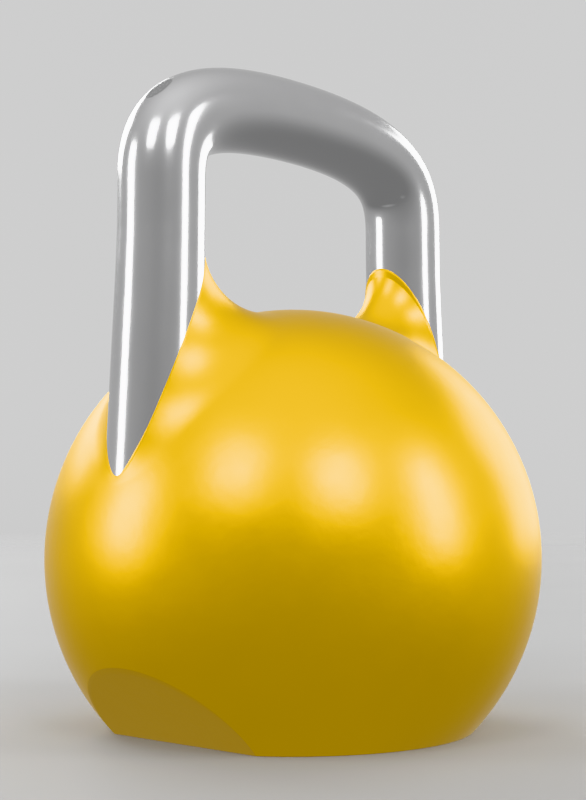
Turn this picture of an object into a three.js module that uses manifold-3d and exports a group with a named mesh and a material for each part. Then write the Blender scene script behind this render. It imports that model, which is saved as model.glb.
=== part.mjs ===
// Competition kettlebell, 16 kg class. Millimetres, +Z up, +X along the handle.
// Origin: centre of the flat base, on the surface that the bell stands on.
//
// A hollow steel ball, cut flat underneath and once on its side, carries a bent steel handle
// in two horns. Discs on a central bolt bring it to weight, and a screwed plate closes the base.

import * as THREE from 'three';
import { mergeVertices } from 'three/addons/utils/BufferGeometryUtils.js';
import Module from 'manifold-3d';

const wasm = await Module();
wasm.setup();

// ---- Driving dimensions ----

const GAP = 0.3; // left between pieces that touch
const PAST = 5; // how far a cut runs on past the faces that it opens

const BALL_RADIUS = 105;
const BALL_CENTRE_Z = 72.1; // the base cuts the ball this far below its centre
const WALL = 8;
const FLOOR_TOP_Z = 17;

const SIDE_FLAT_DISTANCE = 96.9; // from the ball's centre to the flat on its side
const SIDE_FLAT_TILT = Math.PI / 4; // below level, on the -X side

// The handle's half centreline, in its own XZ plane, heights above the ball's centre.
const GRIP_RADIUS = 17.4;
const BAR_HEIGHT = 188.2;
const BAR_REACH = 70.5; // how far the bar runs out level before it turns
const LEG_X = 77.3;
const BEND_END_HEIGHT = 149;
const BEND_PULL = 22;
const LEG_TURN = 24.5; // the leg turns outward over this length, either side of one point
const LEG_LEAN = THREE.MathUtils.degToRad(2.3);
const FLARE_START = 126.8; // along the leg, above the point nearest to the ball's centre
const FLARE_RATE = 1.3 / 90; // radius gained per millimetre down the leg

const HORN_FILLET = 30; // radius of the hollow curve between ball and leg
const HORN_MIDDLE = 80; // along the leg, inside the horn
const HORN_TOP = 150; // along the leg, clear above the horn

// Heights along the leg where its foot seats and ends.
const FOOT_CONE_TOP = 28;
const FOOT_CONE_BOTTOM = 22;
const SPIGOT_RADIUS = 14;
const SPIGOT_END = 4;
const BOSS_FACE = 10;
const BOSS_RADIUS = 24;
const WELD_SIZE = 4.7;
const WELD_CLEARANCE = 2; // between the bead and the ball's wall

const RECESS_RADIUS = 58;
const OPENING_RADIUS = 44.5;
const PLATE_BOTTOM_Z = 1;
const PLATE_THICKNESS = 7;
const GASKET_THICKNESS = 1;
const GASKET_INNER_RADIUS = 46;

const SCREW_COUNT = 6;
const SCREW_CIRCLE_RADIUS = 51.5;
const SCREW_LENGTH = 14;
const SCREW_HEAD_RADIUS = 5;
const SCREW_RADIUS = 2.5;
const SCREW_KEY_RADIUS = 1.75;
const SCREW_KEY_DEPTH = 2;

const BOLT_LENGTH = 134;
const BOLT_HEAD_RADIUS = 12;
const BOLT_RADIUS = 6;
const BOLT_KEY_RADIUS = 4.6;
const BOLT_KEY_DEPTH = 4.5;
const HEAD_BOTTOM_Z = 1.2;

const DISC_COUNT = 6;
const DISC_RADIUS = 43;
const DISC_THICKNESS = 11;
const TRIM_DISC_THICKNESS = 4;
const PAD_RADIUS = 38;
const PAD_THICKNESS = 3;
const SPACER_RADIUS = 15;
const SPACER_LENGTH = 27;
const WASHER_RADIUS = 25;
const WASHER_THICKNESS = 3;
const BORE_RADIUS = 6.5;
const NUT_RADIUS = 11;
const NUT_THICKNESS = 10;
const LOCK_NUT_THICKNESS = 6;

// How finely round shapes are divided.
const HORN_STEPS = 48;
const FILLET_STEPS = 6;
const SPHERE_STEPS = 12;
const BEND_STEPS = 20;
const LEG_TURN_STEPS = 5;
const BAR_SIDES = 32;
const CAVITY_SIDES = 36;
const CAVITY_RINGS = 20;
const ROUND_SIDES = 40;
const SMALL_SIDES = 16;

// ---- Materials ----

const YELLOW_PAINT = { color: 0xe0ac0e, roughness: 0.4, metalness: 0 };
const POLISHED_STEEL = { color: 0xb4b4b6, roughness: 0.12, metalness: 1 };
const PLAIN_STEEL = { color: 0x86888a, roughness: 0.45, metalness: 1 };
const ZINC_STEEL = { color: 0xa9abad, roughness: 0.3, metalness: 1 };
const BLACK_STEEL = { color: 0x2c2d2f, roughness: 0.5, metalness: 0.8 };
const BLACK_RUBBER = { color: 0x1c1c1d, roughness: 0.8, metalness: 0 };

// ---- Solids ----

const Y_AXIS = new THREE.Vector3(0, 1, 0);

// A closed surface through rings of points, each ring as long as the others.
// startPoint and endPoint close the ends; without one, that end is left open.
function loft(rings, startPoint, endPoint) {
  const count = rings[0].length;
  const points = rings.flat();
  const index = [];
  for (let ring = 0; ring + 1 < rings.length; ring += 1) {
    for (let i = 0; i < count; i += 1) {
      const a = ring * count + i;
      const b = ring * count + ((i + 1) % count);
      index.push(a, b, a + count, b, b + count, a + count);
    }
  }
  const lastRing = (rings.length - 1) * count;
  for (const [tip, start, first, second] of [[startPoint, 0, 1, 0], [endPoint, lastRing, 0, 1]]) {
    if (!tip) continue;
    points.push(tip);
    for (let i = 0; i < count; i += 1) {
      index.push(start + ((i + first) % count), start + ((i + second) % count), points.length - 1);
    }
  }
  const geometry = new THREE.BufferGeometry().setFromPoints(points);
  geometry.setIndex(index);
  return geometry;
}

// Several surfaces that share their edges, as one.
function joined(geometries) {
  const positions = [];
  const index = [];
  for (const geometry of geometries) {
    const offset = positions.length / 3;
    positions.push(...geometry.attributes.position.array);
    index.push(...Array.from(geometry.index.array, (i) => i + offset));
  }
  const geometry = new THREE.BufferGeometry();
  geometry.setAttribute('position', new THREE.Float32BufferAttribute(positions, 3));
  geometry.setIndex(index);
  return geometry;
}

// The surface mirrored in the plane x = 0, its faces still pointing out.
function mirrored(geometry) {
  const mirror = geometry.clone().scale(-1, 1, 1);
  mirror.setIndex(Array.from(geometry.index.array).reverse());
  return mirror;
}

// A profile of [radius, height] points turned about the Z axis.
function turned(profile, sides = ROUND_SIDES) {
  const points = profile.map(([radius, height]) => new THREE.Vector2(radius, height));
  return new THREE.LatheGeometry(points, sides).rotateX(Math.PI / 2);
}

function disc(radius, bottom, top, sides = ROUND_SIDES) {
  return turned([[0, bottom], [radius, bottom], [radius, top], [0, top]], sides);
}

function ring(innerRadius, outerRadius, bottom, top, sides = ROUND_SIDES) {
  const profile = [[innerRadius, bottom], [outerRadius, bottom], [outerRadius, top], [innerRadius, top]];
  return turned([...profile, profile[0]], sides);
}

// A countersunk screw with its head's face at z = 0. Grown, it is the hole that the screw goes
// in, which also runs on past the head.
function countersunk(headRadius, shankRadius, length, grow = 0) {
  const start = grow > 0 ? [[0, -PAST], [headRadius + grow, -PAST]] : [[0, 0]];
  return turned([
    ...start,
    [headRadius + grow, 0],
    [shankRadius + grow, headRadius - shankRadius],
    [shankRadius + grow, length],
    [0, length],
  ], SMALL_SIDES);
}

function hexagon(radius, bottom, top) {
  return disc(radius, bottom, top, 6);
}

// The solid of a closed surface, whichever way its faces were wound.
function solid(geometry) {
  const bare = geometry.clone();
  for (const name of Object.keys(bare.attributes)) {
    if (name !== 'position') bare.deleteAttribute(name);
  }
  const merged = mergeVertices(bare, 1e-4);
  const corners = Array.from(merged.index.array);
  const triangles = [];
  for (let i = 0; i < corners.length; i += 3) {
    const [a, b, c] = corners.slice(i, i + 3);
    if (a !== b && b !== c && c !== a) triangles.push(a, b, c);
  }
  if (signedVolume(merged.attributes.position, triangles) < 0) triangles.reverse();
  const vertProperties = new Float32Array(merged.attributes.position.array);
  return new wasm.Manifold(new wasm.Mesh({
    numProp: 3,
    vertProperties,
    triVerts: new Uint32Array(triangles),
  }));
}

function signedVolume(position, triangles) {
  const [a, b, c] = [new THREE.Vector3(), new THREE.Vector3(), new THREE.Vector3()];
  let volume = 0;
  for (let i = 0; i < triangles.length; i += 3) {
    a.fromBufferAttribute(position, triangles[i]);
    b.fromBufferAttribute(position, triangles[i + 1]);
    c.fromBufferAttribute(position, triangles[i + 2]);
    volume += a.dot(b.cross(c)) / 6;
  }
  return volume;
}

function surfaceOf(body) {
  const mesh = body.getMesh();
  const geometry = new THREE.BufferGeometry();
  geometry.setAttribute('position', new THREE.BufferAttribute(new Float32Array(mesh.vertProperties), 3));
  geometry.setIndex(new THREE.BufferAttribute(new Uint32Array(mesh.triVerts), 1));
  return geometry;
}

const kettlebell = new THREE.Group();

function addPiece(name, body, material, position = [0, 0, 0]) {
  const mesh = new THREE.Mesh(surfaceOf(body), new THREE.MeshStandardMaterial(material));
  mesh.name = name;
  mesh.position.set(...position);
  kettlebell.add(mesh);
}

// ---- The leg's own frame ----
// Its Z runs along the right leg and its origin is the ball's centre, so the leg's axis
// stands at x = LEG_OFFSET. toBody leans it into place, seen from the base's centre.

const legTurnEnd = new THREE.Vector2(
  LEG_X + LEG_TURN * Math.sin(LEG_LEAN),
  BEND_END_HEIGHT - LEG_TURN - LEG_TURN * Math.cos(LEG_LEAN),
);
const LEG_OFFSET = legTurnEnd.x * Math.cos(LEG_LEAN) + legTurnEnd.y * Math.sin(LEG_LEAN);

function toBody(geometry) {
  return geometry.rotateY(-LEG_LEAN).translate(0, 0, BALL_CENTRE_Z);
}

function legRadius(height) {
  return GRIP_RADIUS + FLARE_RATE * Math.max(0, FLARE_START - height);
}

// A profile turned about the leg's axis.
function aroundLeg(profile, sides = BAR_SIDES) {
  return toBody(turned(profile, sides).translate(LEG_OFFSET, 0, 0));
}

// ---- Ball and horns ----

// Where a ball of the fillet's radius rests against both the leg and the ball, at an angle
// round the leg that starts on its outer side.
function restingBall(angle) {
  let radius = GRIP_RADIUS;
  let height = 0;
  let reach = 0;
  const span = BALL_RADIUS + HORN_FILLET;
  for (let pass = 0; pass < 4; pass += 1) {
    reach = radius + HORN_FILLET;
    const across = LEG_OFFSET ** 2 + reach ** 2 + 2 * LEG_OFFSET * reach * Math.cos(angle);
    height = Math.sqrt(span ** 2 - across);
    radius = legRadius(height);
  }
  return new THREE.Vector3(LEG_OFFSET + reach * Math.cos(angle), reach * Math.sin(angle), height);
}

// A point part of the way along the shorter arc between two directions.
function alongArc(from, to, fraction) {
  const angle = from.angleTo(to);
  const start = from.clone().multiplyScalar(Math.sin((1 - fraction) * angle));
  return start.addScaledVector(to, Math.sin(fraction * angle)).divideScalar(Math.sin(angle));
}

// From the leg down the hollow curve to the ball, then over the ball to the plane x = 0.
function hornAndBallLine(angle) {
  const centre = restingBall(angle);
  const toLeg = new THREE.Vector3(-Math.cos(angle), -Math.sin(angle), 0);
  const toBall = centre.clone().negate().normalize();
  const line = [];
  for (let step = 0; step <= FILLET_STEPS; step += 1) {
    const direction = alongArc(toLeg, toBall, step / FILLET_STEPS);
    line.push(direction.multiplyScalar(HORN_FILLET).add(centre));
  }
  const legHeight = Math.sqrt(BALL_RADIUS ** 2 - LEG_OFFSET ** 2);
  const pole = new THREE.Vector3(LEG_OFFSET, 0, legHeight).normalize();
  const start = centre.clone().normalize();
  for (const direction of [pole, start, ...line]) direction.applyAxisAngle(Y_AXIS, -LEG_LEAN);
  const end = pole.clone().cross(start).cross(new THREE.Vector3(1, 0, 0)).normalize();
  for (let step = 1; step <= SPHERE_STEPS; step += 1) {
    line.push(alongArc(start, end, step / SPHERE_STEPS).multiplyScalar(BALL_RADIUS));
  }
  return line;
}

function outerSkin() {
  const lines = [];
  for (let i = 0; i < HORN_STEPS; i += 1) {
    lines.push(hornAndBallLine((2 * Math.PI * i) / HORN_STEPS));
  }
  const rings = lines[0].map((_, step) => lines.map((line) => line[step]));
  const mouth = new THREE.Vector3(LEG_OFFSET, 0, HORN_MIDDLE).applyAxisAngle(Y_AXIS, -LEG_LEAN);
  const rightHalf = loft(rings, mouth);
  return joined([rightHalf, mirrored(rightHalf)]).translate(0, 0, BALL_CENTRE_Z);
}

// All that lies beyond a side flat at this distance from the ball's centre.
function beyondSideFlat(distance) {
  const size = 4 * BALL_RADIUS;
  return new THREE.BoxGeometry(size, size, size)
    .translate(-distance - size / 2, 0, 0)
    .rotateY(-SIDE_FLAT_TILT)
    .translate(0, 0, BALL_CENTRE_Z);
}

function below(height) {
  const size = 4 * BALL_RADIUS;
  return new THREE.BoxGeometry(size, size, size).translate(0, 0, height - size / 2);
}

// The space that a leg's foot goes in: the foot grown by the gap, and the leg above it.
function socketProfile() {
  return [
    [0, SPIGOT_END - GAP],
    [SPIGOT_RADIUS + GAP, SPIGOT_END - GAP],
    [SPIGOT_RADIUS + GAP, FOOT_CONE_BOTTOM],
    [legRadius(FOOT_CONE_TOP) + GAP, FOOT_CONE_TOP],
    [legRadius(HORN_TOP) + GAP, HORN_TOP],
    [0, HORN_TOP],
  ];
}

function bothSides(geometry) {
  return [solid(geometry), solid(mirrored(geometry))];
}

function ballOfRadius(radius) {
  return new THREE.SphereGeometry(radius, CAVITY_SIDES, CAVITY_RINGS).translate(0, 0, BALL_CENTRE_Z);
}

function ballastSpace() {
  let space = solid(ballOfRadius(BALL_RADIUS - WALL)).subtract(solid(below(FLOOR_TOP_Z)));
  space = space.subtract(solid(beyondSideFlat(SIDE_FLAT_DISTANCE - WALL)));
  const boss = aroundLeg([
    [0, BOSS_FACE],
    [BOSS_RADIUS, BOSS_FACE],
    [BOSS_RADIUS, HORN_TOP],
    [0, HORN_TOP],
  ]);
  for (const side of bothSides(boss)) space = space.subtract(side);
  return space;
}

function screwPlaces() {
  const places = [];
  for (let i = 0; i < SCREW_COUNT; i += 1) {
    const angle = (2 * Math.PI * (i + 0.5)) / SCREW_COUNT;
    places.push([SCREW_CIRCLE_RADIUS * Math.cos(angle), SCREW_CIRCLE_RADIUS * Math.sin(angle)]);
  }
  return places;
}

const plateTop = PLATE_BOTTOM_Z + PLATE_THICKNESS;
const gasketBottom = plateTop + GAP;
const gasketTop = gasketBottom + GASKET_THICKNESS;
const ledgeZ = gasketTop + GAP;

function bodyShell() {
  let body = solid(outerSkin());
  body = body.subtract(solid(below(0)));
  body = body.subtract(solid(beyondSideFlat(SIDE_FLAT_DISTANCE)));
  body = body.subtract(ballastSpace());
  for (const socket of bothSides(aroundLeg(socketProfile()))) body = body.subtract(socket);
  body = body.subtract(solid(disc(RECESS_RADIUS, -PAST, ledgeZ)));
  body = body.subtract(solid(disc(OPENING_RADIUS, -PAST, FLOOR_TOP_Z + PAST)));
  for (const [x, y] of screwPlaces()) {
    const hole = disc(SCREW_RADIUS + GAP, ledgeZ - PAST, FLOOR_TOP_Z + PAST, SMALL_SIDES);
    body = body.subtract(solid(hole.translate(x, y, 0)));
  }
  return body;
}

// ---- Handle ----

// A ring of points round a centreline point; outward is the direction in the handle's plane.
function barRing(x, z, outward, radius) {
  const ringPoints = [];
  for (let i = 0; i < BAR_SIDES; i += 1) {
    const angle = (2 * Math.PI * i) / BAR_SIDES;
    const reach = radius * Math.cos(angle);
    ringPoints.push(new THREE.Vector3(
      x + reach * outward.x,
      radius * Math.sin(angle),
      BALL_CENTRE_Z + z + reach * outward.y,
    ));
  }
  return ringPoints;
}

// The right half of the bar: level at its middle, one long bend, then the leg's turn outward.
function halfCentreline() {
  const path = new THREE.CurvePath();
  path.add(new THREE.CubicBezierCurve(
    new THREE.Vector2(0, BAR_HEIGHT),
    new THREE.Vector2(BAR_REACH, BAR_HEIGHT),
    new THREE.Vector2(LEG_X, BEND_END_HEIGHT + BEND_PULL),
    new THREE.Vector2(LEG_X, BEND_END_HEIGHT),
  ));
  path.add(new THREE.QuadraticBezierCurve(
    new THREE.Vector2(LEG_X, BEND_END_HEIGHT),
    new THREE.Vector2(LEG_X, BEND_END_HEIGHT - LEG_TURN),
    legTurnEnd,
  ));
  return path;
}

function rightHandleRings() {
  const [bend, turn] = halfCentreline().curves;
  const rings = [];
  const steps = [[bend, 0, BEND_STEPS], [turn, 1, LEG_TURN_STEPS]];
  for (const [curve, first, last] of steps) {
    for (let step = first; step <= last; step += 1) {
      const point = curve.getPoint(step / last);
      const along = curve.getTangent(step / last);
      const outward = new THREE.Vector2(-along.y, along.x);
      const height = point.y * Math.cos(LEG_LEAN) - point.x * Math.sin(LEG_LEAN);
      rings.push(barRing(point.x, point.y, outward, legRadius(height)));
    }
  }
  const outward = new THREE.Vector2(Math.cos(LEG_LEAN), Math.sin(LEG_LEAN));
  const foot = [
    [FOOT_CONE_TOP, legRadius(FOOT_CONE_TOP)],
    [FOOT_CONE_BOTTOM, SPIGOT_RADIUS],
    [SPIGOT_END, SPIGOT_RADIUS],
  ];
  for (const [height, radius] of foot) {
    const x = LEG_OFFSET * outward.x - height * outward.y;
    const z = LEG_OFFSET * outward.y + height * outward.x;
    rings.push(barRing(x, z, outward, radius));
  }
  return rings;
}

function middleOf(points) {
  const sum = new THREE.Vector3();
  for (const point of points) sum.add(point);
  return sum.divideScalar(points.length);
}

function handle() {
  const right = rightHandleRings();
  const left = right.slice(1).reverse().map((points) => (
    points.map((point) => new THREE.Vector3(-point.x, point.y, point.z))
  ));
  const rings = [...left, ...right];
  return loft(rings, middleOf(rings[0]), middleOf(rings[rings.length - 1]));
}

// A bead in the corner between spigot and boss, wherever the shell's wall leaves room for it.
function weld() {
  const inner = SPIGOT_RADIUS + GAP;
  const top = BOSS_FACE - GAP;
  const bead = aroundLeg([[inner, top], [inner + WELD_SIZE, top], [inner, top - WELD_SIZE], [inner, top]]);
  const room = ballOfRadius(BALL_RADIUS - WALL - WELD_CLEARANCE);
  return surfaceOf(solid(bead).intersect(solid(room)));
}

// ---- Base ----

function basePlate() {
  let plate = solid(disc(RECESS_RADIUS - GAP, PLATE_BOTTOM_Z, plateTop));
  const depth = PLATE_THICKNESS + PAST;
  const boltHole = countersunk(BOLT_HEAD_RADIUS, BOLT_RADIUS, depth, GAP).translate(0, 0, HEAD_BOTTOM_Z);
  plate = plate.subtract(solid(boltHole));
  for (const [x, y] of screwPlaces()) {
    const hole = countersunk(SCREW_HEAD_RADIUS, SCREW_RADIUS, depth, GAP).translate(x, y, HEAD_BOTTOM_Z);
    plate = plate.subtract(solid(hole));
  }
  return plate;
}

function baseGasket() {
  let gasket = solid(ring(GASKET_INNER_RADIUS, RECESS_RADIUS - GAP, gasketBottom, gasketTop));
  for (const [x, y] of screwPlaces()) {
    const hole = disc(SCREW_RADIUS + GAP, gasketBottom - PAST, gasketTop + PAST, SMALL_SIDES);
    gasket = gasket.subtract(solid(hole.translate(x, y, 0)));
  }
  return gasket;
}

function keyedScrew(headRadius, shankRadius, length, keyRadius, keyDepth) {
  const key = hexagon(keyRadius, -keyDepth, keyDepth);
  return solid(countersunk(headRadius, shankRadius, length)).subtract(solid(key));
}

// ---- Assembly ----

addPiece('body_shell', bodyShell(), YELLOW_PAINT);
addPiece('handle', solid(handle()), POLISHED_STEEL);
for (const [i, bead] of bothSides(weld()).entries()) {
  addPiece(['weld_right', 'weld_left'][i], bead, PLAIN_STEEL);
}

addPiece('base_plate', basePlate(), ZINC_STEEL);
addPiece('base_gasket', baseGasket(), BLACK_RUBBER);
for (const [i, [x, y]] of screwPlaces().entries()) {
  const screw = keyedScrew(SCREW_HEAD_RADIUS, SCREW_RADIUS, SCREW_LENGTH, SCREW_KEY_RADIUS, SCREW_KEY_DEPTH);
  addPiece(`base_screw_${i + 1}`, screw, BLACK_STEEL, [x, y, HEAD_BOTTOM_Z]);
}

const bolt = keyedScrew(BOLT_HEAD_RADIUS, BOLT_RADIUS, BOLT_LENGTH, BOLT_KEY_RADIUS, BOLT_KEY_DEPTH);
addPiece('ballast_bolt', bolt, BLACK_STEEL, [0, 0, HEAD_BOTTOM_Z]);

let level = plateTop + GAP;

// Puts the next piece of the stack on the bolt, just clear of the one below.
function stack(name, radius, thickness, material, sides = ROUND_SIDES) {
  const outline = solid(disc(radius, 0, thickness, sides));
  const bore = solid(disc(BORE_RADIUS, -PAST, thickness + PAST, SMALL_SIDES));
  addPiece(name, outline.subtract(bore), material, [0, 0, level]);
  level += thickness + GAP;
}

stack('spacer_tube', SPACER_RADIUS, SPACER_LENGTH, ZINC_STEEL);
stack('pad_lower', PAD_RADIUS, PAD_THICKNESS, BLACK_RUBBER);
for (let i = 1; i <= DISC_COUNT; i += 1) {
  stack(`ballast_disc_${i}`, DISC_RADIUS, DISC_THICKNESS, PLAIN_STEEL);
}
stack('trim_disc', DISC_RADIUS, TRIM_DISC_THICKNESS, PLAIN_STEEL);
stack('pad_upper', PAD_RADIUS, PAD_THICKNESS, BLACK_RUBBER);
stack('clamp_washer', WASHER_RADIUS, WASHER_THICKNESS, ZINC_STEEL);
stack('clamp_nut', NUT_RADIUS, NUT_THICKNESS, ZINC_STEEL, 6);
stack('lock_nut', NUT_RADIUS, LOCK_NUT_THICKNESS, ZINC_STEEL, 6);

export default kettlebell;
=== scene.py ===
"""Competition kettlebell, 16 kg class: fine meshes, finishes, light and camera.

Metres, +Z up, +X along the handle, origin at the centre of the flat base.
"""

import math

import bmesh
import bpy
import numpy as np
from mathutils import Matrix, Vector


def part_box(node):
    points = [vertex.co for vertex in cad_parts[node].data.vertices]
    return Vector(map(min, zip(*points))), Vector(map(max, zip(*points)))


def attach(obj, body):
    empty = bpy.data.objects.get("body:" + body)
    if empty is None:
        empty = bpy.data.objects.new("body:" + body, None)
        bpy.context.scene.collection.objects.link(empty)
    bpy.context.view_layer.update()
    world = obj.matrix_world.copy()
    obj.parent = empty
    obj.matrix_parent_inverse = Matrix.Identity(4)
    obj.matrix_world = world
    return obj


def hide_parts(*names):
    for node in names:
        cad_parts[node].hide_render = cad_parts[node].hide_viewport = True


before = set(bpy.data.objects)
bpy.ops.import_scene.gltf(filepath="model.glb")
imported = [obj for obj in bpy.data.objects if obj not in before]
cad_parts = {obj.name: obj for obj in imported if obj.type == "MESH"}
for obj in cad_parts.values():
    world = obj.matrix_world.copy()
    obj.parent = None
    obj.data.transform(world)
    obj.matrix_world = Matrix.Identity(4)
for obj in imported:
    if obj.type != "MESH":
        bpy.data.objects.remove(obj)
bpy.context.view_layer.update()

# ---- Dimensions, the same as the CAD's ----

MM = 0.001
GAP = 0.3 * MM  # between pieces that touch
BALL_RADIUS = 105 * MM
BALL_CENTRE = Vector((0, 0, 72.1 * MM))
WALL = 8 * MM
FLOOR_TOP_Z = 17 * MM

SIDE_FLAT_DISTANCE = 96.9 * MM  # of the flat under the left horn, from the ball's centre
DIAGONAL = math.sqrt(0.5)
SIDE_FLAT_NORMAL = Vector((-DIAGONAL, 0, -DIAGONAL))

# The handle. Heights are from the ball's centre, those of the legs along the leaning leg.
GRIP_RADIUS = 17.4 * MM
BAR_HEIGHT = 188.2 * MM
BAR_REACH = 70.5 * MM  # x of the bend's control point on the bar's level
LEG_X = 77.3 * MM  # at the end of the bend, where the bar is upright
BEND_END_HEIGHT = 149 * MM
BEND_PULL = 22 * MM  # from there up to the bend's other control point
LEG_TURN = 24.5 * MM  # each half of the slight turn from upright to the lean
LEG_LEAN = math.radians(2.3)
FLARE_START = 126.8 * MM  # the leg thickens below this
FLARE_RATE = 1.3 / 90
HORN_FILLET = 30 * MM  # radius of the hollow curve between leg and ball

FOOT_CONE_TOP = 28 * MM
FOOT_CONE_BOTTOM = 22 * MM
SPIGOT_RADIUS = 14 * MM
SPIGOT_END = 4 * MM
BOSS_FACE = 10 * MM
BOSS_RADIUS = 24 * MM

RECESS_RADIUS = 58 * MM
OPENING_RADIUS = 44.5 * MM
LEDGE_Z = 9.6 * MM  # top of the recess that the base plate sits in

SCREW_RADIUS = 2.5 * MM
BOLT_RADIUS = 6 * MM

# The base and the side flat from the ball's centre, with the flat turned to the +X side.
BASE_DEPTH = BALL_CENTRE.z
BASE_RADIUS = math.sqrt(BALL_RADIUS**2 - BASE_DEPTH**2)
FLAT_CIRCLE_RADIUS = math.sqrt(BALL_RADIUS**2 - SIDE_FLAT_DISTANCE**2)
FLAT_CIRCLE_OUT = SIDE_FLAT_DISTANCE * DIAGONAL  # x of its middle
FLAT_LEVEL_X = SIDE_FLAT_DISTANCE / DIAGONAL  # where the flat's plane is level with the centre
FLAT_BASE_X = FLAT_LEVEL_X - BASE_DEPTH  # where it meets the base
FLAT_ARC_END = math.acos((FLAT_BASE_X - FLAT_CIRCLE_OUT) / DIAGONAL / FLAT_CIRCLE_RADIUS)
FLAT_AZIMUTH = math.atan2(FLAT_CIRCLE_RADIUS * math.sin(FLAT_ARC_END), FLAT_BASE_X)

# ---- Small shapes that the CAD leaves out ----

PAINT_FILM = 0.12 * MM
PAINT_LIP = ((0, 0), (0, 0.45), (0.25, 0.85), (0.8, 1))  # films from the edge, films off the steel
LIP_LENGTH = 2 * PAINT_FILM
LIP_SEATS = ((0.8 * MM, GAP), (0.3 * MM, 0))  # hidden rings: below the edge, off the steel

# The paint starts below the top of the horn's curve: by this much on the right and on the left
# horn, by a smaller share of it within an angle of the leg's outer side, and blended from there.
HIGH_PAINT = 2.2 * MM
LOW_PAINT = 7.2 * MM
OUTER_SHARE = 0.56
OUTER_ANGLE = math.radians(10)
OUTER_BLEND = math.radians(40)

EDGE_ROUND = 0.4 * MM
PLATE_EDGE_ROUND = 0.5 * MM
WORN_DIRECTION = Vector((-0.675, -0.06, 0.735)).normalized()  # the outside of the left bend
WORN_REACH = 244.1 * MM  # from the origin to the plane of the worn flat

# How deep below a flat its own colour reaches, and over how much it then fades out. On the worn
# flat this colour is a painted dark reflection.
SIDE_FLAT_MARGIN = 0.03 * MM
PAINTED_DARK_MARGIN = 0.01 * MM
FLAT_FADE = 0.03 * MM

# Two shallow dents inside the right bend: centre in metres, long axis, length, width.
DENTS = [
    ((0.0589, -0.0055, 0.2323), (0.36, -0.93, 0.02), 11 * MM, 3.2 * MM),
    ((0.0618, -0.0126, 0.2360), (0.3, -0.2, 0.93), 4.4 * MM, 3.4 * MM),
]
DENT_DEPTH = 0.4 * MM

# Hexagon sockets: radius to the corners, and depth.
SCREW_KEY = 1.75 * MM
SCREW_KEY_DEPTH = 2 * MM
BOLT_KEY = 4.6 * MM
BOLT_KEY_DEPTH = 4.5 * MM

# Shares of the socket's radius: how much wider its mouth is, how far the mouth's slope starts
# above the head's face and ends below it, and how far the point at the bottom goes.
KEY_LEAD = 0.12
KEY_RIM = 0.01
KEY_LEAD_DEPTH = 0.14
KEY_POINT = 0.5

HEAD_BREAK = 0.06  # broken edge of a screw's head, as a share of its radius
TIP_LENGTH = 1 / 3  # of the screw's tapered tip, as a share of the shank's radius
TIP_SHARE = 0.8  # radius of its end, also as a share

# ---- How finely surfaces are divided ----

BAR_SIDES = 128
BEND_ROWS = 72
LEG_ROWS = 70
PAINT_FILLET_ROWS = 22
BALL_ROWS = 44
BAND_ROWS = 26
BAND_TOP = -30 * MM  # from the ball's centre, where the horns' rows end and the band's begin
FLAT_ROWS = 12
BASE_ROWS = 8
RECESS_ROWS = 4
LEDGE_ROWS = 2
MERIDIAN_STEPS = 120
QUARTER_STEPS = 60
FLAT_STEPS = 48
SHOULDER_STEPS = 40
SPACE_ROWS = 40
SPACE_SIDES = 96
SLAB_SIDES = 16
OPENING_SIDES = 128
PLATE_SIDES = 192
TURNED_SIDES = 64
HEXAGON = 6
FLOOR_SIDES = 96
ROUNDING_STEPS = 4
BEVEL_SEGMENTS = 3

WELD_DISTANCE = 2e-6  # points closer than this are one point
SLIVER = 1e-7  # edges shorter than this are dissolved
TINY = 1e-9  # radians
SHARP_ANGLE = math.radians(25)  # edges sharper than this stay sharp in the shading
BEVEL_ANGLE = math.radians(12)  # and base edges sharper than this are rounded
OVERLAP = 5 * MM  # how far a cutter starts before the face that it opens
BEYOND = 200 * MM  # further out than anything on the bell


# ---- Meshes ----


def new_object(name, mesh):
    piece = bpy.data.objects.new(name, mesh)
    bpy.context.scene.collection.objects.link(piece)
    return piece


def mesh_of_grids(name, grids, bevel=None):
    """One closed mesh from grids of points that share their borders; bevel rounds its edges."""
    mesh = bmesh.new()
    for points in grids:
        rows, columns = points.shape[:2]
        verts = [mesh.verts.new(p) for p in points.reshape(-1, 3)]
        for r in range(rows - 1):
            for c in range(columns - 1):
                a = r * columns + c
                mesh.faces.new([verts[i] for i in (a, a + 1, a + columns + 1, a + columns)])
    bmesh.ops.remove_doubles(mesh, verts=mesh.verts, dist=WELD_DISTANCE)
    bmesh.ops.dissolve_degenerate(mesh, edges=mesh.edges, dist=SLIVER)
    bmesh.ops.recalc_face_normals(mesh, faces=mesh.faces)
    if mesh.calc_volume(signed=True) < 0:
        bmesh.ops.reverse_faces(mesh, faces=mesh.faces)
    if bevel:
        bevel(mesh)
    data = bpy.data.meshes.new(name)
    mesh.to_mesh(data)
    mesh.free()
    return data


def shade_smooth(data):
    """Smooth shading, broken at sharp edges."""
    mesh = bmesh.new()
    mesh.from_mesh(data)
    for face in mesh.faces:
        face.smooth = True
    for edge in mesh.edges:
        edge.smooth = len(edge.link_faces) == 2 and edge.calc_face_angle(0) < SHARP_ANGLE
    mesh.to_mesh(data)
    mesh.free()


def revolved(profile, sides):
    """A grid: a profile of (radius, height) points turned about the Z axis."""
    turn = np.linspace(0, 2 * np.pi, sides + 1)
    radius, height = np.array(profile, float).T
    grid = np.empty((len(radius), sides + 1, 3))
    grid[..., 0] = radius[:, None] * np.cos(turn)
    grid[..., 1] = radius[:, None] * np.sin(turn)
    grid[..., 2] = height[:, None]
    return grid


def rod_profile(radius, low, high):
    """The profile of a plain rod between two heights."""
    return [(0, low), (radius, low), (radius, high), (0, high)]


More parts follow.
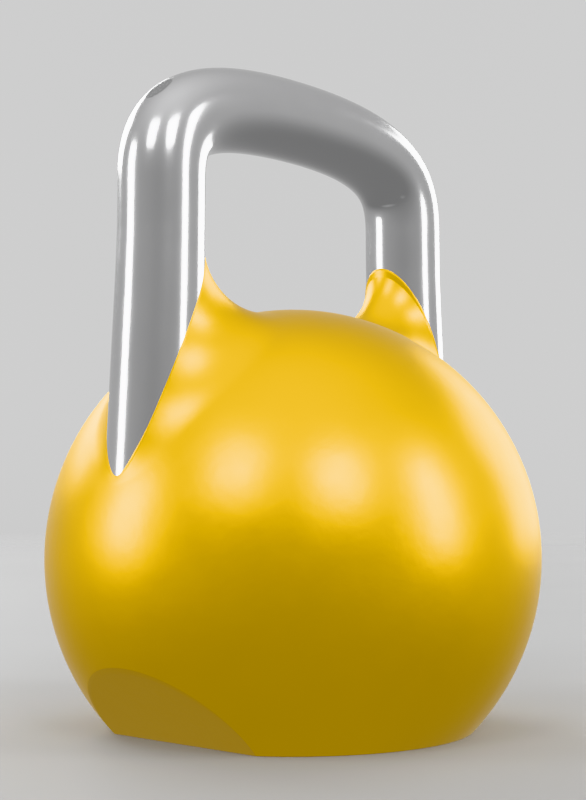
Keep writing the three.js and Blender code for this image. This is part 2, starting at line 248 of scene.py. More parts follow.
def rounded_profile(corners, size):
    """A profile with each inner corner rounded, for edges a tool has broken."""
    corners = [Vector(c) for c in corners]
    out = [corners[0]]
    for before, corner, after in zip(corners, corners[1:], corners[2:]):
        start = corner + (before - corner).normalized() * size
        end = corner + (after - corner).normalized() * size
        for t in np.linspace(0, 1, ROUNDING_STEPS + 1):
            out.append(start * (1 - t) ** 2 + corner * 2 * t * (1 - t) + end * t * t)
    return [tuple(p) for p in [*out, corners[-1]]]


def turned(name, profile, sides):
    """A solid from a profile that starts and ends on its axis."""
    return new_object(name, mesh_of_grids(name, [revolved(profile, sides)]))


def rows_between(first, last, steps):
    """Rows of points from one row, itself left out, straight to another."""
    return [first + (last - first) * step / steps for step in range(1, steps + 1)]


def cut(target, cutters):
    """Takes the cutters' solids away from a mesh object and leaves the result in it."""
    for cutter in cutters:
        modifier = target.modifiers.new("cut", "BOOLEAN")
        modifier.operation = "DIFFERENCE"
        modifier.solver = "EXACT"
        modifier.object = cutter
    graph = bpy.context.evaluated_depsgraph_get()
    result = bpy.data.meshes.new_from_object(target.evaluated_get(graph))
    target.modifiers.clear()
    target.data = result
    for cutter in cutters:
        bpy.data.objects.remove(cutter)


# ---- The bar ----


def bezier(points, t):
    """Points and tangents of a Bezier curve in a plane, at each t."""
    level = [np.outer(np.ones_like(t), p) for p in np.array(points, float)]
    t = t[:, None]
    while len(level) > 2:
        level = [a * (1 - t) + b * t for a, b in zip(level, level[1:])]
    return level[0] * (1 - t) + level[1] * t, level[1] - level[0]


TURN_END = np.array([
    LEG_X + LEG_TURN * math.sin(LEG_LEAN),
    BEND_END_HEIGHT - LEG_TURN - LEG_TURN * math.cos(LEG_LEAN),
])
ALONG_LEG = np.array([-math.sin(LEG_LEAN), math.cos(LEG_LEAN)])
ACROSS_LEG = np.array([math.cos(LEG_LEAN), math.sin(LEG_LEAN)])
LEG_OFFSET = TURN_END @ ACROSS_LEG

# Control points of the bend and of the leg's slight turn, x and height from the ball's centre.
BEND_POINTS = [
    (0, BAR_HEIGHT),
    (BAR_REACH, BAR_HEIGHT),
    (LEG_X, BEND_END_HEIGHT + BEND_PULL),
    (LEG_X, BEND_END_HEIGHT),
]
TURN_POINTS = [(LEG_X, BEND_END_HEIGHT), (LEG_X, BEND_END_HEIGHT - LEG_TURN), TURN_END]


def centreline(station):
    """The right half of the bar's line, x and height from the ball's centre.

    Station 0 is the middle, 1 the end of the bend, 2 the end of the leg's turn, 3 the foot.
    """
    bend, bend_along = bezier(BEND_POINTS, np.clip(station, 0, 1))
    turn, turn_along = bezier(TURN_POINTS, np.clip(station - 1, 0, 1))
    straight = TURN_END @ ALONG_LEG - FOOT_CONE_TOP
    leg = TURN_END - np.outer(np.maximum(station - 2, 0) * straight, ALONG_LEG)
    part = station[:, None]
    point = np.where(part < 1, bend, np.where(part < 2, turn, leg))
    along = np.where(part < 1, bend_along, np.where(part < 2, turn_along, -ALONG_LEG))
    return point, along / np.linalg.norm(along, axis=1, keepdims=True)


def leg_radius(height):
    return GRIP_RADIUS + FLARE_RATE * np.maximum(0, FLARE_START - height)


def bar_surface(station, angle):
    """Points on the bar, from the ball's centre. Angle 0 is the outer side of the bend."""
    shape = np.broadcast(station, angle).shape
    station, angle = (np.broadcast_to(v, shape).ravel() for v in (station, angle))
    point, along = centreline(station)
    radius = leg_radius(point @ ALONG_LEG)
    reach = radius * np.cos(angle)
    x = point[:, 0] - reach * along[:, 1]
    z = point[:, 1] + reach * along[:, 0]
    return np.stack([x, radius * np.sin(angle), z], -1).reshape(*shape, 3)


# ---- The hollow curve between leg and ball ----
# The leg's frame has its Z along the right leg and its origin at the ball's centre. Angles are
# round the leg, from its outer side.

RADIUS_ROUNDS = 5  # the leg's radius depends on the height that is found with it
HALVINGS = 40
BEARING_SAMPLES = 8193


def lean(points):
    """From the leg's frame to upright, still from the ball's centre."""
    x, y, z = np.moveaxis(points, -1, 0)
    across, up = ACROSS_LEG
    return np.stack([across * x - up * z, y, up * x + across * z], -1)


def resting_ball(angle):
    """Centre of a ball of the fillet's radius that touches both the leg and the big ball."""
    radius = GRIP_RADIUS
    for _ in range(RADIUS_ROUNDS):
        reach = radius + HORN_FILLET
        across = LEG_OFFSET**2 + reach**2 + 2 * LEG_OFFSET * reach * np.cos(angle)
        height = np.sqrt((BALL_RADIUS + HORN_FILLET) ** 2 - across)
        radius = leg_radius(height)
    return np.stack([LEG_OFFSET + reach * np.cos(angle), reach * np.sin(angle), height], -1)


def unit(vectors):
    return vectors / np.linalg.norm(vectors, axis=-1, keepdims=True)


def along_arc(start, end, fraction):
    """Points part of the way along the shorter arc between two directions."""
    turn = np.arccos(np.clip((start * end).sum(-1, keepdims=True), -1, 1))
    return (np.sin((1 - fraction) * turn) * start + np.sin(fraction * turn) * end) / np.sin(turn)


def fillet_ends(angle):
    """Directions from the resting ball to where it touches the leg and the big ball."""
    to_leg = -np.stack([np.cos(angle), np.sin(angle), np.zeros_like(angle)], -1)
    return to_leg, -unit(resting_ball(angle))


def station_at(angle, height):
    """Station at which each line down the bar comes to this height in the leg's frame."""
    low, high = np.full_like(angle, 1.0), np.full_like(angle, 3.0)
    for _ in range(HALVINGS):
        middle = (low + high) / 2
        x, _, z = np.moveaxis(bar_surface(middle, angle), -1, 0)
        above = x * ALONG_LEG[0] + z * ALONG_LEG[1] > height
        low, high = np.where(above, middle, low), np.where(above, high, middle)
    return (low + high) / 2


def hollow_curve(angle, share, lift=0.0):
    """Points on the right horn's hollow curve, from share 0 at the leg to share 1 at the ball."""
    to_leg, to_ball = fillet_ends(angle)
    towards = along_arc(to_leg, to_ball, np.asarray(share)[..., None])
    return lean(resting_ball(angle) + (HORN_FILLET - np.asarray(lift)[..., None]) * towards)


class Horn:
    """The painted hollow curve at these angles round the right leg.

    Its edge lies on the bar, drop below the curve's own start. From there it eases into the curve.
    """

    def __init__(self, angle, drop):
        from_outside = np.abs(np.mod(angle + np.pi, 2 * np.pi) - np.pi)
        side = np.clip((from_outside - OUTER_ANGLE) / OUTER_BLEND, 0, 1)
        side = side * side * (3 - 2 * side)
        drop = drop * (OUTER_SHARE + (1 - OUTER_SHARE) * side)
        to_leg, to_ball = fillet_ends(angle)
        turn = np.arccos((to_leg * to_ball).sum(-1))
        sine = drop * np.sin(turn) / (HORN_FILLET * -to_ball[..., 2])
        self.angle = angle
        self.start = np.arcsin(sine) / turn
        self.length = (1 - self.start) * turn * HORN_FILLET
        self.edge_height = resting_ball(angle)[..., 2] - drop
        edge = bar_surface(station_at(angle, self.edge_height), angle)
        self.shift = edge - hollow_curve(angle, self.start)

    def surface(self, along, lift):
        """Points from along 0 at the paint's edge to along 1 at the ball, raised by lift."""
        share = self.start + (1 - self.start) * along
        ease = np.broadcast_to((1 - along) ** 2, self.angle.shape)
        return hollow_curve(self.angle, share, lift) + self.shift * ease[..., None]

    def seat(self, below, grow):
        """Points round the leg, below the paint's edge, inside the horn."""
        height = self.edge_height - below
        return leg_ring(self.angle, leg_radius(height) + grow, height)


def leg_ring(angle, radius, height):
    x = LEG_OFFSET + radius * np.cos(angle)
    y = radius * np.sin(angle)
    return lean(np.stack([x, y, height + np.zeros_like(angle)], -1))


def foot_rings(angle, grow, end):
    """Rings down the foot inside the horn, closed at its end; grow is the room round it."""
    return [
        leg_ring(angle, leg_radius(FOOT_CONE_TOP) + grow, FOOT_CONE_TOP),
        leg_ring(angle, SPIGOT_RADIUS + grow, FOOT_CONE_BOTTOM),
        leg_ring(angle, SPIGOT_RADIUS + grow, end),
        leg_ring(angle, 0 * angle, end),
    ]


# ---- Handle ----


def handle_half():
    """Rows of points from the middle of the bar down to one foot, for the right side."""
    angle = np.linspace(0, 2 * np.pi, BAR_SIDES + 1)
    bend = np.linspace(0, 1, BEND_ROWS + 1)
    leg = np.linspace(1, 3, LEG_ROWS + 1)[1:]
    rows = [bar_surface(np.full_like(angle, station), angle) for station in (*bend, *leg)]
    return np.stack(rows + foot_rings(angle, 0, SPIGOT_END)[1:])


def make_handle():
    """The whole bent bar, with a small flat worn on the outside of its left bend."""
    right = handle_half()
    left = right * [-1, 1, 1]
    grid = np.concatenate([left[::-1], right[1:]]) + np.array(BALL_CENTRE)
    away = np.array(WORN_DIRECTION)
    over = np.maximum(grid @ away - WORN_REACH, 0)
    data = mesh_of_grids("handle_bar", [grid - over[..., None] * away])
    shade_smooth(data)
    return new_object("handle_bar", data)


# ---- Painted shell ----


def band_azimuths(left):
    """Azimuths of the band's columns over half the ball, from -Y round to +Y.

    On the left half they crowd together at the side flat and meet its corners.
    """
    if not left:
        return np.linspace(-np.pi / 2, np.pi / 2, 2 * QUARTER_STEPS + 1)
    arc = np.linspace(-1, 1, FLAT_STEPS + 1) * FLAT_ARC_END
    across = FLAT_CIRCLE_RADIUS * np.sin(arc)
    out = FLAT_CIRCLE_OUT + FLAT_CIRCLE_RADIUS * np.cos(arc) * DIAGONAL
    flat = np.arctan2(across, out)
    shoulder = np.linspace(-np.pi / 2, flat[0], SHOULDER_STEPS + 1)[:-1]
    return np.concatenate([shoulder, flat, -shoulder[::-1]])


def horn_targets(azimuths):
    """The loop that the horn's rows end on: the plane x = 0 over the top, then the band's top."""
    low = math.asin(BAND_TOP / BALL_RADIUS)
    over = np.linspace(low, np.pi - low, MERIDIAN_STEPS + 1)[1:-1]
    meridian = np.stack([0 * over, np.cos(over), np.sin(over)], -1)
    rise = np.full_like(azimuths, math.tan(low))
    level = unit(np.stack([np.cos(azimuths), np.sin(azimuths), rise], -1))
    loop = np.concatenate([level, meridian])
    return np.concatenate([loop, loop[:1]])


def angles_towards(targets):
    """Angles round the leg whose lines over the ball run towards these directions."""
    pole = unit(np.array([LEG_OFFSET, 0, math.sqrt(BALL_RADIUS**2 - LEG_OFFSET**2)]))
    out = np.cross([0, 1, 0], pole)

    def bearing(direction):
        return np.arctan2(direction[..., 1], direction @ out)

    table = np.linspace(-np.pi, np.pi, BEARING_SAMPLES)
    bearings = np.unwrap(bearing(unit(resting_ball(table))))
    upright = targets[..., [0, 2]]
    in_leg_frame = np.stack([upright @ ACROSS_LEG, targets[..., 1], upright @ ALONG_LEG], -1)
    return np.unwrap(np.interp(bearing(in_leg_frame), bearings, table))


def horn_half(targets, drop):
    """Rows from inside the right horn out over its lip, down the hollow curve and over the ball."""
    angle = angles_towards(targets)
    horn = Horn(angle, drop)
    rows = foot_rings(angle, GAP, SPIGOT_END - GAP)[::-1]
    for below, grow in LIP_SEATS:
        rows.append(horn.seat(below, grow))
    for back, lift in PAINT_LIP:
        rows.append(horn.surface(back * PAINT_FILM / horn.length, lift * PAINT_FILM))
    start = LIP_LENGTH / horn.length
    for step in range(PAINT_FILLET_ROWS + 1):
        along = step / PAINT_FILLET_ROWS
        rows.append(horn.surface(start + (1 - start) * along, PAINT_FILM * (1 - along**2)))
    begin = lean(unit(resting_ball(angle)))
    for step in range(1, BALL_ROWS + 1):
        rows.append(BALL_RADIUS * along_arc(begin, targets, step / BALL_ROWS))
    return np.stack(rows)


def ball_ends(azimuths, left):
    """Elevations at which the ball's surface ends at the side flat or the base, and base radii."""
    base_end = -math.asin(BASE_DEPTH / BALL_RADIUS)
    if not left:
        return np.full_like(azimuths, base_end), np.full_like(azimuths, BASE_RADIUS)
    cosine = np.cos(azimuths)
    inside = (FLAT_LEVEL_X * cosine) ** 2 - (1 + cosine**2) * (FLAT_LEVEL_X**2 - BALL_RADIUS**2)
    reach = (FLAT_LEVEL_X * cosine + np.sqrt(np.maximum(inside, 0))) / (1 + cosine**2)
    flat_end = np.arctan2(reach * cosine - FLAT_LEVEL_X, reach)
    on_flat = np.abs(azimuths) < FLAT_AZIMUTH + TINY
    end = np.where(on_flat, np.maximum(flat_end, base_end), base_end)
    return end, np.where(on_flat, FLAT_BASE_X / cosine, BASE_RADIUS)


def band_half(azimuths, left):
    """Rows from the horn's loop down the ball, over any side flat, over the base and recess."""
    end, base_radius = ball_ends(azimuths, left)

    def place(radius, height):
        x, y = radius * np.cos(azimuths), radius * np.sin(azimuths)
        return np.stack([x, y, height + 0 * azimuths], -1)

    top = math.asin(BAND_TOP / BALL_RADIUS)
    rows = []
    for step in range(BAND_ROWS + 1):
        rise = top + (end - top) * step / BAND_ROWS
        rows.append(place(BALL_RADIUS * np.cos(rise), BALL_RADIUS * np.sin(rise)))
    base_edge = place(base_radius, -BASE_DEPTH)
    recess_edge = place(RECESS_RADIUS, -BASE_DEPTH)
    ledge_edge = place(RECESS_RADIUS, LEDGE_Z - BASE_DEPTH)
    ledge_middle = place(0, LEDGE_Z - BASE_DEPTH)
    rows += rows_between(rows[-1], base_edge, FLAT_ROWS)
    rows += rows_between(base_edge, recess_edge, BASE_ROWS)
    rows += rows_between(recess_edge, ledge_edge, RECESS_ROWS)
    rows += rows_between(ledge_edge, ledge_middle, LEDGE_ROWS)
    return np.stack(rows)


def is_base_edge(edge):
    """Whether this is a sharp edge of the base, the side flat or the recess's mouth."""
    ledge = LEDGE_Z - BASE_DEPTH
    heights = [vert.co.z for vert in edge.verts]
    reaches = [math.hypot(vert.co.x, vert.co.y) for vert in edge.verts]
    return (
        len(edge.link_faces) == 2
        and edge.calc_face_angle(0) > BEVEL_ANGLE
        and max(heights) < BAND_TOP
        and min(heights) < ledge - WELD_DISTANCE
        and min(reaches) > RECESS_RADIUS - EDGE_ROUND
    )


def round_base_edges(mesh):
    """Rounds the edges of the base, the side flat and the recess's mouth."""
    edges = [edge for edge in mesh.edges if is_base_edge(edge)]
    bmesh.ops.bevel(
        mesh,
        geom=edges,
        offset=EDGE_ROUND,
        segments=BEVEL_SEGMENTS,
        profile=0.5,
        affect="EDGES",
        clamp_overlap=True,
    )


def ball_hollow():
    """The round space inside the wall, above the floor."""
    inner = BALL_RADIUS - WALL
    floor = FLOOR_TOP_Z - BASE_DEPTH
    rise = np.linspace(math.asin(floor / inner), np.pi / 2, SPACE_ROWS)
    dome = [(0, floor), *zip(inner * np.cos(rise), inner * np.sin(rise))]
    return turned("space", dome, SPACE_SIDES)


def flat_backing():
    """Everything beyond the wall's inner face behind the side flat."""
    slab = turned("slab", rod_profile(BEYOND, 0, BEYOND), SLAB_SIDES)
    turn = Vector((0, 0, 1)).rotation_difference(SIDE_FLAT_NORMAL).to_matrix().to_4x4()
    slab.data.transform(turn @ Matrix.Translation((0, 0, SIDE_FLAT_DISTANCE - WALL)))
    return slab


def foot_boss(side):
    """The boss that a foot stands in, +1 for the right one and -1 for the left."""
    boss = revolved(rod_profile(BOSS_RADIUS, BOSS_FACE, BEYOND), TURNED_SIDES)
    boss = lean(boss + [LEG_OFFSET, 0, 0]) * [side, 1, 1]
    return new_object("boss", mesh_of_grids("boss", [boss]))


def ballast_space():
    """The hollow inside the shell and the opening to it, as closed solids to cut away."""
    space = ball_hollow()
    cut(space, [flat_backing(), foot_boss(1), foot_boss(-1)])
    low, high = LEDGE_Z - OVERLAP, FLOOR_TOP_Z + OVERLAP
    opening = rod_profile(OPENING_RADIUS, low - BASE_DEPTH, high - BASE_DEPTH)
    return [space, turned("opening", opening, OPENING_SIDES)]


def make_shell():
    """The painted ball with both horns, as one skin, and the hollow inside it."""
    grids = []
    for side, drop in ((1, HIGH_PAINT), (-1, LOW_PAINT)):
        azimuths = band_azimuths(side < 0)
        mirror = [side, 1, 1]
        grids.append(horn_half(horn_targets(azimuths), drop) * mirror)
        grids.append(band_half(azimuths, side < 0) * mirror)
    data = mesh_of_grids("shell_skin", grids, bevel=round_base_edges)
    shell = new_object("shell_skin", data)
    cut(shell, ballast_space())
    shell.data.transform(Matrix.Translation(BALL_CENTRE))
    shade_smooth(shell.data)
    return shell


# ---- Base plate, screws and bolt ----


def countersink(place, head, shank):
    """The hole for a countersunk screw whose head's face is at this place."""
    profile = [
        (0, -OVERLAP),
        (head + GAP, -OVERLAP),
        (head + GAP, 0),
        (shank + GAP, head - shank),
        (shank + GAP, BEYOND),
        (0, BEYOND),
    ]
    hole = turned("hole", profile, TURNED_SIDES)
    hole.data.transform(Matrix.Translation(place))
    return hole


def head_face(node):
    """Middle of a screw's face, and its head's radius, from its CAD node."""
    low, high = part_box(node)
    middle = (low + high) / 2
    return Vector((middle.x, middle.y, low.z)), (high.x - low.x) / 2


def make_screw(name, node, shank, key, key_depth):
    """A countersunk socket screw in place of its CAD node."""
    low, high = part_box(node)
    face, head = head_face(node)
    length = high.z - low.z
    cone = [(0, 0), (head, 0), (shank, head - shank)]
    tip = [(shank, length - TIP_LENGTH * shank), (TIP_SHARE * shank, length), (0, length)]
    screw = turned(name, rounded_profile(cone, HEAD_BREAK * head) + tip, TURNED_SIDES)
    mouth = key * (1 + KEY_LEAD)
    socket = [
        (0, -key_depth),
        (mouth, -key_depth),
        (mouth, -KEY_RIM * key),
        (key, KEY_LEAD_DEPTH * key),
        (key, key_depth),
        (0, key_depth + KEY_POINT * key),
    ]
    cut(screw, [turned("socket", socket, HEXAGON)])
    screw.data.transform(Matrix.Translation(face))
    shade_smooth(screw.data)
    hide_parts(node)
    return screw


def make_plate(screw_nodes):
    """The base plate with its countersunk holes, in place of its CAD node."""
    low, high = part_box("base_plate")
    outline = rod_profile((high.x - low.x) / 2, low.z, high.z)
    plate = turned("plate_disc", rounded_profile(outline, PLATE_EDGE_ROUND), PLATE_SIDES)
    holes = [countersink(*head_face("ballast_bolt"), BOLT_RADIUS)]
    for node in screw_nodes:
        holes.append(countersink(*head_face(node), SCREW_RADIUS))
    cut(plate, holes)
    shade_smooth(plate.data)
    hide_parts("base_plate")
    return plate


# ---- Materials ----

NOISE_LOW = 0.3
NOISE_HIGH = 0.7

# A Mix node's sockets for colours, after those for numbers and vectors.
MIX_FIRST = 6
MIX_SECOND = 7
MIX_RESULT = 2


class Nodes:
    """Short calls that add shader nodes to a tree."""

    def __init__(self, tree):
        self.tree = tree

    def feed(self, socket, value):
        """Links another node's output to a socket, or sets a plain value or an RGB colour on it."""
        if isinstance(value, bpy.types.NodeSocket):
            self.tree.links.new(value, socket)
        elif socket.type == "RGBA":
            socket.default_value = (*value, 1)
        else:
            socket.default_value = value

    def add(self, kind, inputs, **settings):
        """A new node with these settings and inputs."""
        node = self.tree.nodes.new(kind)
        for key, value in settings.items():
            setattr(node, key, value)
        for key, value in inputs.items():
            self.feed(node.inputs[key], value)
        return node

    def math(self, operation, *values):
        node = self.add("ShaderNodeMath", dict(enumerate(values)), operation=operation)
        return node.outputs[0]

    def vector_math(self, operation, *values, output="Vector"):
        node = self.add("ShaderNodeVectorMath", dict(enumerate(values)), operation=operation)
        return node.outputs[output]

    def dot(self, place, axis):
        return self.vector_math("DOT_PRODUCT", place, axis, output="Value")

    def length(self, vector):
        return self.vector_math("LENGTH", vector, output="Value")

    def remap(self, value, low, high, to_low, to_high, kind="LINEAR"):
        ends = {
            "Value": value,
            "From Min": low,
            "From Max": high,
            "To Min": to_low,
            "To Max": to_high,
        }
        return self.add("ShaderNodeMapRange", ends, interpolation_type=kind).outputs[0]


class Finish(Nodes):
    """A material with one Principled shader."""

    def __init__(self, name, metallic=0.0):
        self.material = bpy.data.materials.new(name)
        self.material.use_nodes = True
        super().__init__(self.material.node_tree)
        self.shader = self.tree.nodes["Principled BSDF"]
        self.place = self.add("ShaderNodeTexCoord", {}).outputs["Object"]
        self.set("Metallic", metallic)

    def set(self, key, value):
        self.feed(self.shader.inputs[key], value)

    def noise(self, scale, detail, stretch=(1, 1, 1)):
        """Noise from 0 to 1 with this many features to the metre; stretch scales each axis."""
        place = self.vector_math("MULTIPLY", self.place, stretch)
        inputs = {"Vector": place, "Scale": scale, "Detail": detail}
        return self.add("ShaderNodeTexNoise", inputs).outputs[0]

    def spread(self, noise, low, high):
        """Noise, most of which lies from NOISE_LOW to NOISE_HIGH, made to run from low to high."""
        return self.remap(noise, NOISE_LOW, NOISE_HIGH, low, high)

    def mix(self, factor, first, second):
        node = self.add("ShaderNodeMix", {"Factor": factor}, data_type="RGBA")
        self.feed(node.inputs[MIX_FIRST], first)
        self.feed(node.inputs[MIX_SECOND], second)
        return node.outputs[MIX_RESULT]

    def on_flat(self, direction, reach, depth):
        """1 on a flat at this reach along a direction and down to a depth below it, else 0."""
        along = self.dot(self.place, direction)
        return self.remap(along, reach - depth - FLAT_FADE, reach - depth, 0, 1)

    def dent(self, centre, axis, length, width):
        """0 in the middle of a long dent, rising to 1 at its edge and beyond."""
        axis = Vector(axis).normalized()
        away = self.vector_math("SUBTRACT", self.place, centre)
        shorter = self.vector_math("MULTIPLY", axis * (width / length - 1), self.dot(away, axis))
        distance = self.length(self.vector_math("ADD", away, shorter))
        return self.remap(distance, 0, width / 2, 0, 1, "SMOOTHSTEP")

    def bump(self, heights):
        """Bumps of (value, depth in metres), one on the other."""
        normal = None
        for value, depth in heights:
            inputs = {"Strength": 1.0, "Distance": depth, "Height": value}
            if normal:
                inputs["Normal"] = normal
            normal = self.add("ShaderNodeBump", inputs).outputs[0]
        self.set("Normal", normal)


def yellow_paint():
    """Satin metallic coat, a little greyer on the side flat."""
    paint = Finish("satin_yellow", 1.0)
    paint.set("Specular Tint", (1.0, 0.97, 0.82))
    cloud = paint.spread(paint.noise(18, 2), 0, 1)
    color = paint.mix(cloud, (0.79, 0.47, 0.003), (0.82, 0.49, 0.005))
    reach = SIDE_FLAT_DISTANCE + BALL_CENTRE.dot(SIDE_FLAT_NORMAL)
    on_flat = paint.on_flat(SIDE_FLAT_NORMAL, reach, SIDE_FLAT_MARGIN)
    paint.set("Base Color", paint.mix(on_flat, color, (0.76, 0.46, 0.035)))
    paint.set("Roughness", paint.spread(paint.noise(90, 4), 0.29, 0.33))
    paint.bump([
        (paint.noise(260, 2), 0.05 * MM),
        (paint.noise(1100, 2), 0.012 * MM),
    ])
    return paint.material


def polished_steel():
    """Polished steel with faint marks along and round the bar, the dents, and a painted dark
    reflection on the worn flat.
    """
    steel = Finish("mirror_steel", 1.0)
    polished = steel.mix(steel.noise(30, 3), (0.45, 0.45, 0.452), (0.47, 0.47, 0.475))
    # Darker base colour on the worn flat: a painted dark reflection.
    painted_dark_reflection = steel.on_flat(WORN_DIRECTION, WORN_REACH, PAINTED_DARK_MARGIN)
    steel.set("Base Color", steel.mix(painted_dark_reflection, polished, (0.26, 0.26, 0.262)))
    steel.set("Roughness", steel.spread(steel.noise(55, 5, (1, 2.5, 1)), 0.16, 0.20))
    steel.bump([
        (steel.noise(500, 3, (1, 0.03, 1)), 0.0008 * MM),
        (steel.noise(900, 3, (1, 1, 0.03)), 0.0005 * MM),
        (steel.noise(70, 2), 0.01 * MM),
        *[(steel.dent(*dent), DENT_DEPTH) for dent in DENTS],
    ])
    return steel.material


def turned_steel():
    """Bright plated steel with the fine rings that facing it in a lathe leaves."""
    steel = Finish("turned_zinc", 1.0)
    radius = steel.length(steel.vector_math("MULTIPLY", steel.place, (1, 1, 0)))
    ring_inputs = {"W": radius, "Scale": 2600, "Detail": 3}
    rings = steel.add("ShaderNodeTexNoise", ring_inputs, noise_dimensions="1D").outputs[0]
    cloud = steel.noise(60, 4)
    steel.set("Base Color", steel.mix(cloud, (0.50, 0.51, 0.50), (0.62, 0.62, 0.60)))
    steel.set("Roughness", steel.spread(cloud, 0.26, 0.36))
    steel.bump([(rings, 0.02 * MM)])
    return steel.material


def clouded(name, metallic, colors, roughness, cloud, grain, depth):
    """Soft clouds of colour and gloss over a fine grain; cloud and grain are (scale, detail)."""
    finish = Finish(name, metallic)
    clouds = finish.noise(*cloud)
    finish.set("Base Color", finish.mix(clouds, *colors))
    finish.set("Roughness", finish.spread(clouds, *roughness))
    finish.bump([(finish.noise(*grain), depth)])
    return finish.material


def black_steel():
    return clouded(
        "oxide_black",
        metallic=0.85,
        colors=((0.02, 0.021, 0.023), (0.06, 0.06, 0.062)),
        roughness=(0.38, 0.52),
        cloud=(400, 4),
        grain=(2500, 3),
        depth=0.01 * MM,
    )


def plain_steel():
    return clouded(
        "rolled_steel",
        metallic=1.0,
        colors=((0.18, 0.17, 0.165), (0.33, 0.33, 0.34)),
        roughness=(0.38, 0.55),
        cloud=(45, 5),
        grain=(1200, 4),
        depth=0.03 * MM,
    )


def black_rubber():
    return clouded(
        "soft_rubber",
        metallic=0.0,
        colors=((0.010, 0.010, 0.011), (0.022, 0.022, 0.023)),
        roughness=(0.7, 0.85),
        cloud=(300, 4),
        grain=(1800, 3),
        depth=0.04 * MM,
    )


def dress(piece, material):
    """Gives a new piece its material."""
    piece.data.materials.clear()
    piece.data.materials.append(material)


# ---- Stage, lights and camera ----

# The camera, as fitted to the photo's outlines.
VIEW_HEADING = math.radians(47.79)  # clockwise from +Y, seen from above
VIEW_RISE = math.radians(3.939)
VIEW_ROLL = math.radians(-0.0604)
CAMERA_PLACE = Vector((-0.470988, -0.427303, 0.094972))
LENS = 66.517  # mm, on a sensor this wide
SENSOR_WIDTH = 36
NEAREST_SEEN = 10 * MM

LIGHT_DISTANCE = 8.0

# Soft boxes: bearing from the camera's side towards the picture's right, width, lowest and
# highest elevation, all in degrees as seen from the ball, then brightness.
SOFT_BOXES = {
    "box_left": (-81.5, 15, 3, 28, 8.6),
    "box_front_left": (-30, 16, 29, 49, 6.8),
    "box_front_right": (24, 16, 26, 45, 8.2),
    "box_right": (70, 10, 5, 36, 11.0),
    "box_back_right": (138, 34, 1, 32, 4.6),
    "box_back_left": (-145, 36, 15, 36, 7.0),
}

# Brightness of the world: everywhere, then what is added behind, at the sides and overhead.
WORLD_LEVEL = 0.55
WORLD_BACK = 0.10
WORLD_SIDES = 0.20
WORLD_TOP = 0.72
WORLD_TOP_ELEVATION = 76  # degrees, leaning towards the camera
WORLD_TOP_FOCUS = 3  # the higher, the smaller the bright part overhead
WORLD_GROUND = 0.45
SWEEP_LOW = -0.6  # sines of the elevations between which the ground turns into sky
SWEEP_HIGH = 0.1

FLOOR_GAP = 0.1 * MM  # keeps the floor clear of the flat base
FLOOR_SOLID = 1.0  # radius at which the floor starts to fade
FLOOR_EDGE = 4.0  # and at which it ends
FLOOR_COLORS = ((0.29, 0.29, 0.29), (0.31, 0.31, 0.31))


def view_axes():
    """Directions to the picture's right, up the picture and into it."""
    ahead = Vector((math.sin(VIEW_HEADING), math.cos(VIEW_HEADING), 0))
    forward = ahead * math.cos(VIEW_RISE) + Vector((0, 0, math.sin(VIEW_RISE)))
    right = forward.cross(Vector((0, 0, 1))).normalized()
    up = right.cross(forward)
    turn = Matrix.Rotation(-VIEW_ROLL, 3, forward)
    return turn @ right, turn @ up, forward


def make_camera():
    """The photo's camera."""
    right, up, forward = view_axes()
    data = bpy.data.cameras.new("camera")
    data.sensor_width = SENSOR_WIDTH
    data.lens = LENS
    data.clip_start = NEAREST_SEEN
    camera = new_object("camera", data)
    axes = Matrix((right, up, -forward)).transposed()
    camera.matrix_world = Matrix.Translation(CAMERA_PLACE) @ axes.to_4x4()
    bpy.context.scene.camera = camera


def direction(bearing, elevation):
    """From the ball, at a bearing from the camera's side and an elevation, in degrees."""
    turn = VIEW_HEADING + math.pi - math.radians(bearing)
    level = Vector((math.sin(turn), math.cos(turn), 0))
    rise = math.radians(elevation)
    return level * math.cos(rise) + Vector((0, 0, math.sin(rise)))


def size_across(degrees):
    """Size that something at the lights' distance needs to span this angle."""
    return 2 * LIGHT_DISTANCE * math.tan(math.radians(degrees / 2))


def make_soft_box(name, bearing, width, low, high, brightness):
    """An area light that faces the ball; its power grows with its area, to look equally bright."""
    data = bpy.data.lights.new(name, "AREA")
    data.shape = "RECTANGLE"
    data.size = size_across(width)
    data.size_y = size_across(high - low)
    data.energy = brightness * math.pi * data.size * data.size_y
    towards = direction(bearing, (low + high) / 2)
    box = new_object(name, data)
    box.matrix_world = (
        Matrix.Translation(BALL_CENTRE + towards * LIGHT_DISTANCE)
        @ towards.to_track_quat("Z", "Y").to_matrix().to_4x4()
    )


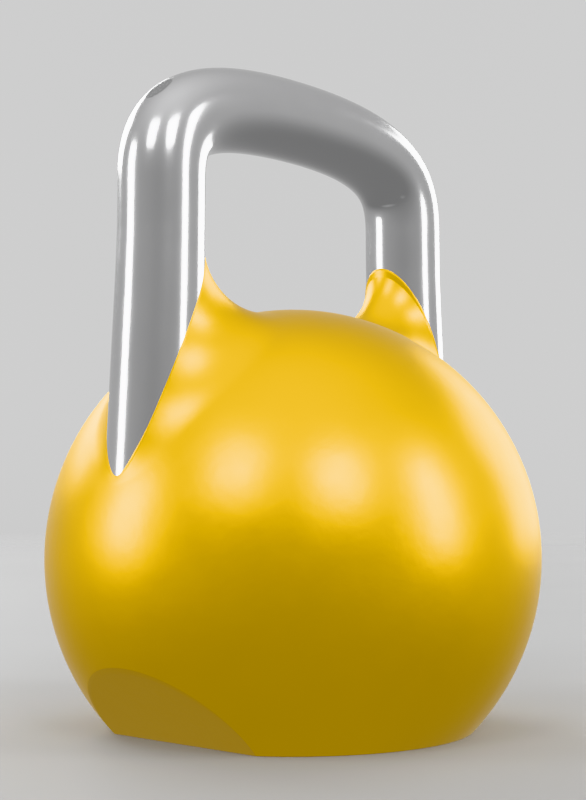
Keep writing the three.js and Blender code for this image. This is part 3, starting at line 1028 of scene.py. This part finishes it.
def make_world():
    """Even grey light, brighter overhead and at the sides, that sweeps down to a grey ground."""
    world = bpy.data.worlds.new("studio")
    world.use_nodes = True
    bpy.context.scene.world = world
    nodes = Nodes(world.node_tree)
    place = nodes.add("ShaderNodeTexCoord", {}).outputs["Generated"]
    behind = nodes.remap(nodes.dot(place, direction(180, 0)), -1, 1, 0, 1)
    sideways = nodes.dot(place, direction(90, 0))
    beside = nodes.math("MULTIPLY", sideways, sideways)
    overhead = nodes.math("MAXIMUM", nodes.dot(place, direction(0, WORLD_TOP_ELEVATION)), 0)
    overhead = nodes.math("POWER", overhead, WORLD_TOP_FOCUS)
    sky = nodes.math("MULTIPLY_ADD", behind, WORLD_BACK, WORLD_LEVEL)
    sky = nodes.math("MULTIPLY_ADD", beside, WORLD_SIDES, sky)
    sky = nodes.math("MULTIPLY_ADD", overhead, WORLD_TOP, sky)
    height = nodes.dot(place, (0, 0, 1))
    above_ground = nodes.remap(height, SWEEP_LOW, SWEEP_HIGH, 0, 1, "SMOOTHSTEP")
    added = nodes.math("SUBTRACT", sky, WORLD_GROUND)
    background = world.node_tree.nodes["Background"]
    nodes.feed(background.inputs["Color"], (1, 1, 1))
    strength = nodes.math("MULTIPLY_ADD", added, above_ground, WORLD_GROUND)
    nodes.feed(background.inputs["Strength"], strength)


def make_floor():
    """A pale disc that fades into the world's own ground further out."""
    profile = [(radius, -FLOOR_GAP) for radius in (0, FLOOR_SOLID, FLOOR_EDGE)]
    floor = turned("floor", profile, FLOOR_SIDES)
    finish = Finish("floor")
    finish.set("Roughness", 0.7)
    finish.set("Base Color", finish.mix(finish.noise(3, 3), *FLOOR_COLORS))
    finish.bump([(finish.noise(900, 3), 0.02 * MM)])
    distance = finish.length(finish.place)
    finish.set("Alpha", finish.remap(distance, FLOOR_SOLID, FLOOR_EDGE, 1, 0))
    dress(floor, finish.material)
    floor.visible_glossy = False


# ---- Assembly ----

make_camera()
make_world()
for box_name, settings in SOFT_BOXES.items():
    make_soft_box(box_name, *settings)
make_floor()

finishes = {
    "yellow_paint": yellow_paint(),
    "polished_steel": polished_steel(),
    "plain_steel": plain_steel(),
    "zinc_steel": turned_steel(),
    "black_steel": black_steel(),
    "black_rubber": black_rubber(),
}

handle = make_handle()
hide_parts("handle")
dress(handle, finishes["polished_steel"])

shell = make_shell()
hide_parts("body_shell")
dress(shell, finishes["yellow_paint"])

screw_nodes = sorted(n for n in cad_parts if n.startswith("base_screw"))
plate = make_plate(screw_nodes)
dress(plate, finishes["zinc_steel"])

screws = [
    make_screw(node.replace("base", "socket"), node, SCREW_RADIUS, SCREW_KEY, SCREW_KEY_DEPTH)
    for node in screw_nodes
]
screws.append(make_screw("socket_bolt", "ballast_bolt", BOLT_RADIUS, BOLT_KEY, BOLT_KEY_DEPTH))
for screw in screws:
    dress(screw, finishes["black_steel"])

for piece in (handle, shell, plate, *screws):
    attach(piece, "root")

# As in the photo, the steel and the paint show the studio and not each other.
for piece in (handle, shell, plate, *screws, *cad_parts.values()):
    piece.visible_glossy = False

hidden_finishes = {
    "weld": "plain_steel",
    "ballast_disc": "plain_steel",
    "trim_disc": "plain_steel",
    "pad": "black_rubber",
    "base_gasket": "black_rubber",
    "spacer": "zinc_steel",
    "clamp": "zinc_steel",
    "lock": "zinc_steel",
}
for node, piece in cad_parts.items():
    for start, finish in hidden_finishes.items():
        if node.startswith(start):
            for slot in piece.material_slots:
                slot.material = finishes[finish]

bpy.context.scene.view_settings.view_transform = "Khronos PBR Neutral"
